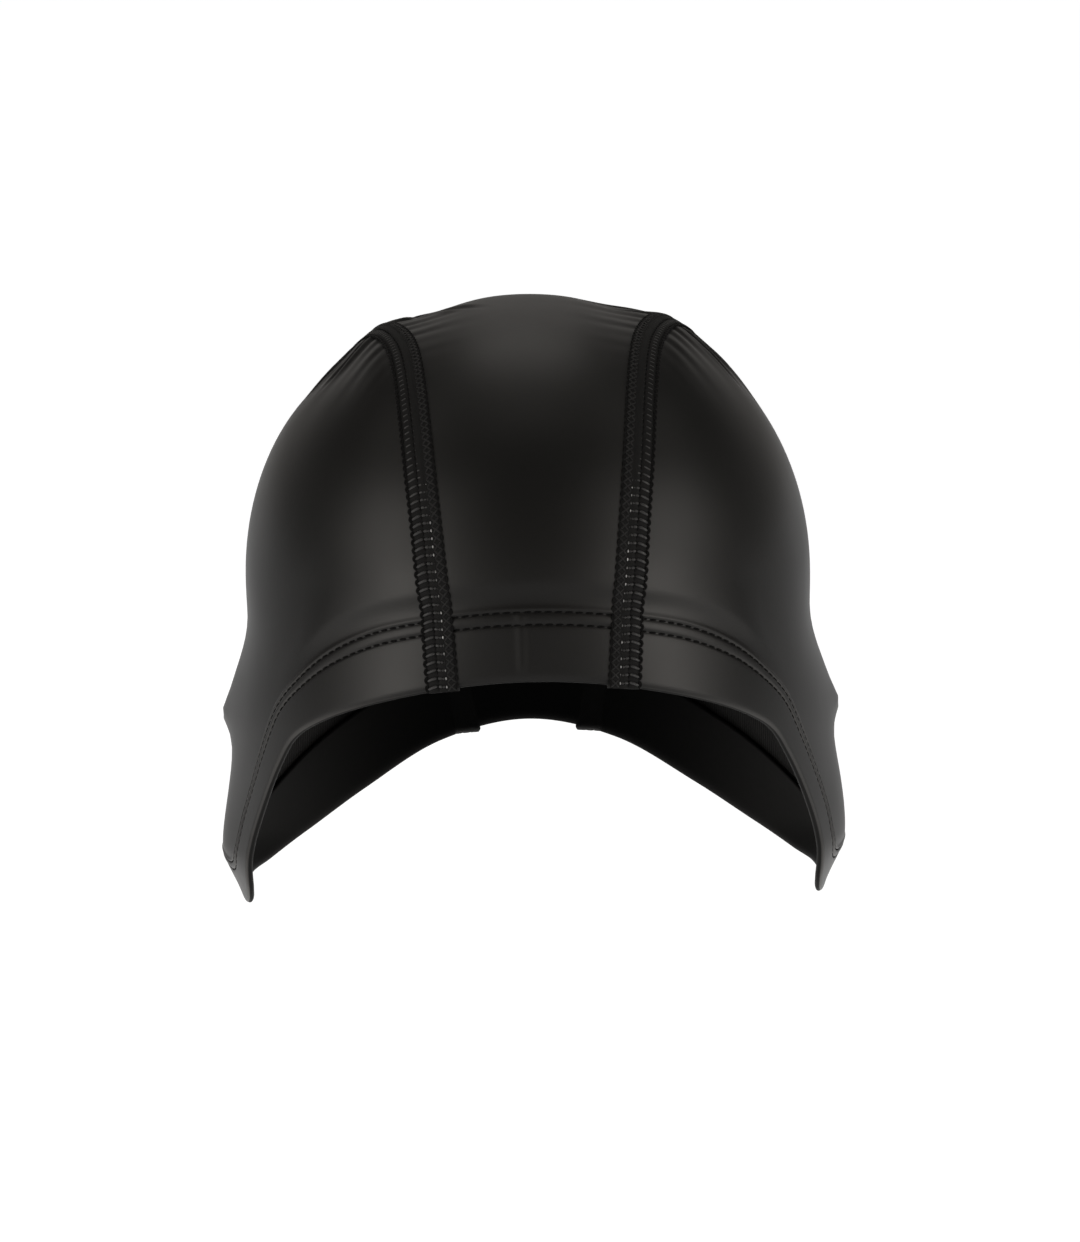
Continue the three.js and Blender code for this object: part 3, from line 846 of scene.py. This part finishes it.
def centre_grid():
    start, end = float(centre_edge.front_mark(HEM_ZONE)), float(centre_edge.back_mark(HEM_ZONE))
    marks = even_marks(centre_edge.line, start, end, CENTRE_ROWS, CROWD["share"])
    edges = centre_edge.line(marks)
    across = np.linspace(-1, 1, CENTRE_COLUMNS + 1)
    front = front_hem(((1 + across) / 2)[None, :], hem_heights[:, None])
    back = back_hem(((1 - across) / 2)[None, :], hem_heights[:, None])
    share = ((edges[:, 1] - edges[0, 1]) / (edges[-1, 1] - edges[0, 1]))[:, None, None]
    plain = np.stack(np.broadcast_arrays(edges[:, :1] * across, edges[:, 1:]), -1)
    from_front = (front[0] - plain[0]) * (1 - share) ** CENTRE_END_FADE
    panel = plain + from_front + (back[0] - plain[-1]) * share ** CENTRE_END_FADE
    distance = SEAM_HALF_WIDTH - TUCK + (1 - np.abs(across)) * form(edges)[:, :1]
    above = HEM_ZONE + lengths_along(centre_edge.line, marks)
    lifts = seam_lift(marks[:, None], distance) + CENTRE_SWELL * swell(above)[:, None]
    join = join_lift(((1 + across) / 2)[None, :], hem_heights[:, None]) * on_outside[:, None]
    front_outs = (hem_outs + CENTRE_SWELL * hem_swell)[:, None] + join
    back_outs = hem_outs[:, None] + 0 * join
    turned = np.concatenate([hem_turned[::-1], np.zeros(len(marks) - 2, bool), hem_turned])
    return (np.concatenate([front[::-1], panel[1:-1], back], axis=0),
            np.concatenate([front_outs[::-1], lifts[1:-1], back_outs], axis=0), turned[:, None])


centre = add_sheet("centre_cloth", *centre_grid())
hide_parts("centre_panel", "front_hem", "back_hem")

# %% [markdown]
# A flatlock seam is a band of thread. Needle threads run along it in rows, and a cover thread goes
# to and fro between them, so from outside it looks like ladders side by side. A bump map cannot give
# its scalloped edge, so the band is a solid ground with every loop of thread laid on it as a mesh.

# %% Seam ground
GROUND_STEP = 0.9                      # millimetres between sections
GROUND = [                             # across in millimetres, and out
    (-4.15, 0.0), (-3.9, 0.3), (-3.3, 0.42), (-2.6, 0.4), (-1.8, 0.42), (-1.3, 0.22), (-0.8, 0.45),
    (-0.2, 0.5), (0.4, 0.45), (0.93, 0.15), (1.4, 0.42), (2.2, 0.48), (3.0, 0.46), (3.7, 0.34), (4.15, 0.0),
    (4.15, -1.1), (3.4, -1.4), (1.2, -1.45), (-1.2, -1.45), (-3.4, -1.4), (-4.15, -1.1),
]
OVER_HEM = {"out": 0.4, "inside": 0.65}
HEM_STEP = (16.5, 19.5)                # heights over which the seam steps down from the hem
SEAM_MARKS = 3000

height_in_front = height_at(seam_middle.line, seam_middle.front, 1)
height_behind = height_at(seam_middle.line, seam_middle.back, -1)
seam_ends = [float(mark_of(-SEAM_OVERHANG)) for mark_of in (seam_middle.front_mark, seam_middle.back_mark)]
mark_fine = np.linspace(*seam_ends, SEAM_MARKS)
length_fine = lengths_along(seam_middle.line, mark_fine)


def on_hem(mark):
    """1 where the seam lies over the hem, 0 above it."""
    return 1 - ramp(*HEM_STEP, np.minimum(height_in_front(mark), height_behind(mark)))


def on_seam(along, across, out):
    """Spots, and how far out, for places on the left seam: millimetres along, across and out."""
    mark = np.interp(along, length_fine, mark_fine)
    proud = np.where(out > 0, OVER_HEM["out"], -OVER_HEM["inside"]) * on_hem(mark)
    side_share = ramp(-SEAM_HALF_WIDTH, SEAM_HALF_WIDTH, across)
    swelling = (CENTRE_SWELL + (1 - CENTRE_SWELL) * side_share) * swell(height_in_front(mark))
    ridge = ridge_height(mark) * bell(SEAM_HALF_WIDTH, RIDGE["spread"])
    return across_seam(mark, across), out + proud + swelling + ridge


def ground_mesh():
    section = np.array(GROUND)
    stations = np.arange(0, length_fine[-1], GROUND_STEP)
    along, across = np.broadcast_arrays(stations[:, None], section[None, :, 0])
    rows, columns = along.shape
    quads = grid_quads(rows, columns, closed=True).tolist()
    ends = [list(range(columns))[::-1], [(rows - 1) * columns + j for j in range(columns)]]
    return *on_seam(along, across, np.broadcast_to(section[:, 1], along.shape)), quads + ends


def add_ground(name, spots, outs, faces):
    points = lifted(spots, outs).reshape(-1, 3)
    return make_piece(name, points, faces, [seam_base_finish])


ground_spots, ground_outs, ground_faces = ground_mesh()
left_ground = add_ground("left_seam_ground", ground_spots, ground_outs, ground_faces)
right_ground = add_ground(
    "right_seam_ground", mirrored(ground_spots), ground_outs, [face[::-1] for face in ground_faces])
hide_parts("left_seam")
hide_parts("right_seam")
print(f"seam ground: {len(ground_faces)} faces, {length_fine[-1]:.0f} mm long")

# %% [markdown]
# Each loop of thread is a short tube along a path. The path of one stitch is written once, in flat
# millimetres, and repeated along the seam; then every point is carried onto the curved cap.

# %% Threads of the seam
PITCH = 2.13                           # millimetres from stitch to stitch
UNSTITCHED = 1.3                       # at each end of the seam
SIDES = 6                              # of a thread's tube
STRANDS = [                            # path: along, across, out; radius is the tube's
    {"name": "rung", "finish": "cover", "radius": 0.36, "path": [
        (-0.32, 3.75, 0.42), (-0.2, 3.1, 0.62), (0.05, 2.3, 0.66), (0.22, 1.6, 0.6), (0.3, 1.1, 0.3)]},
    {"name": "short rung", "finish": "cover", "radius": 0.34, "path": [
        (0.2, 0.72, 0.34), (0.16, 0.4, 0.6), (0.1, 0.05, 0.62), (0.05, -0.2, 0.42)]},
    {"name": "stub", "finish": "cover", "radius": 0.27, "path": [
        (0.0, -0.38, 0.42), (0.0, -0.65, 0.58), (0.0, -0.95, 0.45)]},
    {"name": "edge loop", "finish": "needle", "radius": 0.33, "path": [
        (-1.15, 3.72, 0.25), (-0.75, 4.1, 0.36), (-0.1, 4.36, 0.38), (0.5, 4.14, 0.36), (0.85, 3.7, 0.34)]},
    {"name": "edge chain", "finish": "needle", "radius": 0.2, "path": [
        (-0.95, 3.62, 0.44), (0.0, 3.82, 0.5), (0.9, 3.62, 0.44)]},
    {"name": "outer row", "finish": "needle", "radius": 0.19, "path": [
        (-0.85, 0.95, 0.26), (0.0, 0.93, 0.38), (0.85, 0.91, 0.26)]},
    {"name": "inner row", "finish": "clear", "radius": 0.16, "path": [
        (-0.36, -1.3, 0.34), (0.0, -1.3, 0.46), (0.36, -1.3, 0.34)]},
    {"name": "cross", "finish": "lacing", "radius": 0.2, "path": [
        (-1.05, -1.6, 0.36), (-0.5, -2.2, 0.52), (0.5, -3.2, 0.52), (1.05, -3.8, 0.36)]},
    {"name": "back cross", "finish": "lacing", "radius": 0.2, "path": [
        (1.05, -1.6, 0.36), (0.5, -2.2, 0.46), (-0.5, -3.2, 0.46), (-1.05, -3.8, 0.36)]},
    {"name": "inner edge", "finish": "needle", "radius": 0.24, "path": [
        (-0.95, -3.85, 0.24), (0.0, -4.12, 0.3), (0.95, -3.85, 0.24)]},
]
PATH_POINTS = 7
TIGHT = {"from": 1.42, "to": 1.02, "sunk": 0.46}  # over the crown some threads are pulled down flat
TIGHT_FINISHES = ("cover", "clear")
CLOSED = {"least": 0.06, "power": 5}   # how a tube closes: its end's area, and how late it narrows


def tubes(path, normal, radius, taper):
    """Points and quads of round tubes. Path and normal are (tubes, points, 3)."""
    forward = np.gradient(path, axis=1)
    beside = unit(np.cross(forward, normal))
    above = unit(np.cross(beside, forward))
    angle = np.arange(SIDES) * 2 * math.pi / SIDES
    ring = beside[:, :, None] * np.cos(angle)[:, None] + above[:, :, None] * np.sin(angle)[:, None]
    points = path[:, :, None] + ring * (radius * taper)[None, :, None, None]
    count, steps = path.shape[:2]
    one = grid_quads(steps, SIDES, closed=True)
    quads = (one[None] + np.arange(count)[:, None, None] * steps * SIDES).reshape(-1, 4)
    first = np.arange(SIDES)[::-1]
    last = (steps - 1) * SIDES + np.arange(SIDES)
    caps = [(cap + i * steps * SIDES).tolist() for i in range(count) for cap in (first, last)]
    return points.reshape(-1, 3), quads.tolist() + caps


def rounded(steps):
    """Radius shares along a tube that closes softly at both ends."""
    share = np.abs(np.linspace(-1, 1, steps))
    return np.sqrt(np.maximum(CLOSED["least"], 1 - share ** CLOSED["power"]))


def joined(parts):
    """Several (points, faces) as one."""
    points, faces, start = [], [], 0
    for part_points, part_faces in parts:
        points.append(part_points)
        faces += [[corner + start for corner in face] for face in part_faces]
        start += len(part_points)
    return np.concatenate(points), faces


def stitched(strand, starts, side):
    """One kind of strand, repeated along the seam. Side is 1 for the left seam and -1 for the right."""
    knots = np.array(strand["path"], float)
    steps = np.linspace(0, len(knots) - 1, PATH_POINTS)
    path = np.stack([np.interp(steps, np.arange(len(knots)), knots[:, k]) for k in range(3)], -1)
    along = starts[:, None] + path[None, :, 0]
    mark = np.abs(np.interp(along, length_fine, mark_fine))
    tight = 1 - ramp(TIGHT["to"], TIGHT["from"], mark)
    sunk = TIGHT["sunk"] * tight * (strand["finish"] in TIGHT_FINISHES)
    spots, outs = on_seam(along, np.broadcast_to(path[:, 1], along.shape), path[:, 2] + 0 * along)
    spots = spots * [side, 1]
    return tubes(lifted(spots, outs - sunk), frame_normal(spots), strand["radius"], rounded(PATH_POINTS))


stitch_starts = np.arange(UNSTITCHED, length_fine[-1] - UNSTITCHED, PITCH)
FINISHES = {"cover": cover_thread_painted_sheen, "needle": needle_thread_painted_shade, "lacing": lacing_thread, "clear": clear_thread_painted_glints}
for finish, material in FINISHES.items():
    strands = [strand for strand in STRANDS if strand["finish"] == finish]
    for hand, side in (("left", 1), ("right", -1)):
        points, faces = joined([stitched(strand, stitch_starts, side) for strand in strands])
        make_piece(f"{hand}_seam_{finish}_thread", points, faces, [material])
    names = ", ".join(strand["name"] for strand in strands)
    print(f"{finish} thread ({names}): {len(faces)} faces a seam, {len(stitch_starts)} stitches")

# %% [markdown]
# The hem's stitches are plain dashes of black thread in two rows, sunk in the grooves that they pull.
# A dashed texture would slide over the fold; short tubes laid along the row catch the light as real
# stitches do.

# %% Hem stitches
DASH = {"pitch": 2.7, "length": 2.45, "radius": 0.22, "sunk": 0.12, "slant": 0.1}
DASH_POINTS = 6
DASH_END = {"power": 4, "sunk": 0.24}  # a dash dives into the cloth at both ends


def dashes(cloth, share_step, side):
    """The two rows of dashes along one piece of hem. Each dash slants a little across its row."""
    made = []
    shares = np.arange(0, 1 + share_step, share_step)
    for row in ROWS:
        reached = lengths_along(lambda share: cloth(share, row), shares)
        middles = np.arange(DASH["pitch"] / 2, reached[-1], DASH["pitch"])
        along = middles[:, None] + np.linspace(-0.5, 0.5, DASH_POINTS)[None, :] * DASH["length"]
        height = row + np.linspace(-1, 1, DASH_POINTS) * DASH["slant"]
        spots = cloth(np.interp(along, reached, shares), np.broadcast_to(height, along.shape)) * [side, 1]
        out = hem_relief(row) + DASH["radius"] - DASH["sunk"]
        ends = np.abs(np.linspace(-1, 1, DASH_POINTS)) ** DASH_END["power"] * DASH_END["sunk"]
        path = lifted(spots, out - np.broadcast_to(ends, along.shape))
        made.append(tubes(path, frame_normal(spots), DASH["radius"], rounded(DASH_POINTS)))
    return joined(made)


STITCHED_HEMS = [                      # the long side hems are measured in finer steps
    {"name": "left", "cloth": side_hem, "share_step": 0.0005, "side": 1},
    {"name": "right", "cloth": side_hem, "share_step": 0.0005, "side": -1},
    {"name": "front", "cloth": front_hem, "share_step": 0.005, "side": 1},
    {"name": "back", "cloth": back_hem, "share_step": 0.005, "side": 1},
]
for hem in STITCHED_HEMS:
    points, faces = dashes(hem["cloth"], hem["share_step"], hem["side"])
    make_piece(f"{hem['name']}_hem_stitches", points, faces, [row_thread])
    print(f"{hem['name']} hem stitches: {len(faces)} faces")

# %% [markdown]
# The stage is a wide pale floor under the cap, brightly lit behind it as a studio's paper sweep is.
# Satin cloth is seen mostly by what it mirrors. The broad pale patches beside the seams are soft
# boxes about 50 degrees round from the camera, the dark bands at the temples are the gap beside
# them, and the pale outline is the bright sweep. One table holds the soft boxes, and a small card of
# light on the floor at each side brightens the hem there. A single large light or a picture of a
# room would also work, but neither could place those bands so directly.

# %% Stage and light
FLOOR_LEVEL = -0.42
FLOOR_SIZE = 30
FLOOR_GLOW = 0.3
SWEEP_START = (0.1, 0.5)               # metres behind the cap, dim to bright
SWEEP_SIDE = (0.25, 0.5)               # metres to either side, bright to dim
SWEEPS = [                             # brightness, and width as a share of the distance behind
    {"glow": 0.25, "even": 0.05, "growing": 0.2},
    {"glow": 0.45, "even": 0.13, "growing": 0.0},
]
BOX_SIZE = 0.9
BOX_DISTANCE = 2.0
SOFTBOXES = [                          # turn from the camera's side and height, in degrees
    {"name": "key", "turns": (50, -50), "height": 5, "watts": 9.2},
    {"name": "key_top", "turns": (50, -50), "height": 30, "watts": 2.8},
    {"name": "side", "turns": (72, -72), "height": 2, "watts": 1.6},
    {"name": "side_top", "turns": (72, -72), "height": 24, "watts": 4.0},
    {"name": "shoulder", "turns": (100, -100), "height": 55, "watts": 1.0},
    {"name": "flank", "turns": (130, -130), "height": 8, "watts": 0.3},
    {"name": "rim", "turns": (155, -155), "height": 10, "watts": 0.8},
    {"name": "front", "turns": (20, -20), "height": 8, "watts": 0.5},
    {"name": "back_low", "turns": (180,), "height": 12, "watts": 0.7},
    {"name": "back", "turns": (180,), "height": 36, "watts": 1.0},
    {"name": "back_top", "turns": (180,), "height": 60, "watts": 2.7},
    {"name": "top", "turns": (0,), "height": 88, "watts": 1.1},
]
LOW_CARD = {"aside": 0.45, "above_floor": 0.02, "size": 0.6, "watts": 0.9}
WARM = (1.0, 0.955, 0.9)
WORLD_GLOW = 0.02


def arithmetic(material, operation, a, b=None):
    node = add_node(material, "ShaderNodeMath", operation=operation)
    for value, port in ((a, node.inputs[0]), (b, node.inputs[1])):
        if isinstance(value, (int, float)):
            port.default_value = value
        elif value is not None:
            material.node_tree.links.new(value, port)
    return node.outputs[0]


def floor_finish():
    """Pale paper that glows evenly, and more in two bands that run away behind the cap."""
    material, shader = new_finish("pale_floor", (0.25, 0.25, 0.25), 0.9, 0.1)
    parts = add_node(material, "ShaderNodeSeparateXYZ")
    material.node_tree.links.new(object_place(material), parts.inputs[0])
    behind = smooth_share(material, parts.outputs["Y"], *SWEEP_START)
    aside = arithmetic(material, "ABSOLUTE", parts.outputs["X"])
    glow = FLOOR_GLOW
    for sweep in SWEEPS:
        growing = arithmetic(material, "MULTIPLY", parts.outputs["Y"], sweep["growing"])
        fan = arithmetic(
            material, "MULTIPLY", parts.outputs["Y"], arithmetic(material, "ADD", growing, sweep["even"]))
        dim = smooth_share(material, arithmetic(material, "SUBTRACT", aside, fan), *SWEEP_SIDE)
        lit = arithmetic(material, "MULTIPLY", behind, arithmetic(material, "SUBTRACT", 1, dim))
        glow = arithmetic(material, "ADD", arithmetic(material, "MULTIPLY", lit, sweep["glow"]), glow)
    socket(shader, "Emission Color", (1, 1, 1, 1))
    material.node_tree.links.new(glow, shader.inputs["Emission Strength"])
    return material


def add_floor():
    mesh = bpy.data.meshes.new("floor")
    half = FLOOR_SIZE / 2
    corners = [(x * half, y * half, FLOOR_LEVEL) for x, y in ((-1, -1), (1, -1), (1, 1), (-1, 1))]
    mesh.from_pydata(corners, [], [(0, 1, 2, 3)])
    mesh.materials.append(floor_finish())
    floor = bpy.data.objects.new("floor", mesh)
    bpy.context.scene.collection.objects.link(floor)


def add_lamp(name, size, watts, location, away):
    """A square light that faces opposite to the direction away."""
    light = bpy.data.lights.new(name, "AREA")
    light.shape = "SQUARE"
    light.size = size
    light.energy = watts
    light.color = WARM
    lamp = bpy.data.objects.new(name, light)
    lamp.location = location
    lamp.rotation_mode = "QUATERNION"
    lamp.rotation_quaternion = away.to_track_quat("Z", "Y")
    lamp.visible_camera = False
    bpy.context.scene.collection.objects.link(lamp)


def add_softbox(name, turn, height, watts):
    """A soft box round the cap. Turn 0 is the camera's side, and 90 the cap's left, along +X."""
    turn, height = math.radians(turn), math.radians(height)
    away = Vector((math.sin(turn) * math.cos(height), -math.cos(turn) * math.cos(height), math.sin(height)))
    add_lamp(name, BOX_SIZE, watts, CAMERA_TARGET + away * BOX_DISTANCE, away)


def add_low_card(name, side):
    """A card of light that lies on the floor beside the cap."""
    location = (side * LOW_CARD["aside"], 0, FLOOR_LEVEL + LOW_CARD["above_floor"])
    add_lamp(name, LOW_CARD["size"], LOW_CARD["watts"], location, Vector((0, 0, -1)))


def add_world(strength):
    world = bpy.data.worlds.new("studio")
    world.use_nodes = True
    background = world.node_tree.nodes["Background"]
    socket(background, "Color", (1, 1, 1, 1))
    socket(background, "Strength", strength)
    bpy.context.scene.world = world


add_floor()
for box in SOFTBOXES:
    for i, turn in enumerate(box["turns"]):
        add_softbox(f"{box['name']}_{i}", turn, box["height"], box["watts"])
add_low_card("low_card_left", 1)
add_low_card("low_card_right", -1)
add_world(WORLD_GLOW)
bpy.context.scene.view_settings.view_transform = "Standard"
print("soft boxes:", sum(len(box["turns"]) for box in SOFTBOXES), "and two low cards")

# %% [markdown]
# Last, the area of each sheet of cloth is printed.

def spread_area(sheet):
    return sum(face.area for face in sheet.data.polygons)


for sheet in (left_side, right_side, centre):
    print(f"{sheet.name}: {spread_area(sheet) * 1e4:.0f} square centimetres")
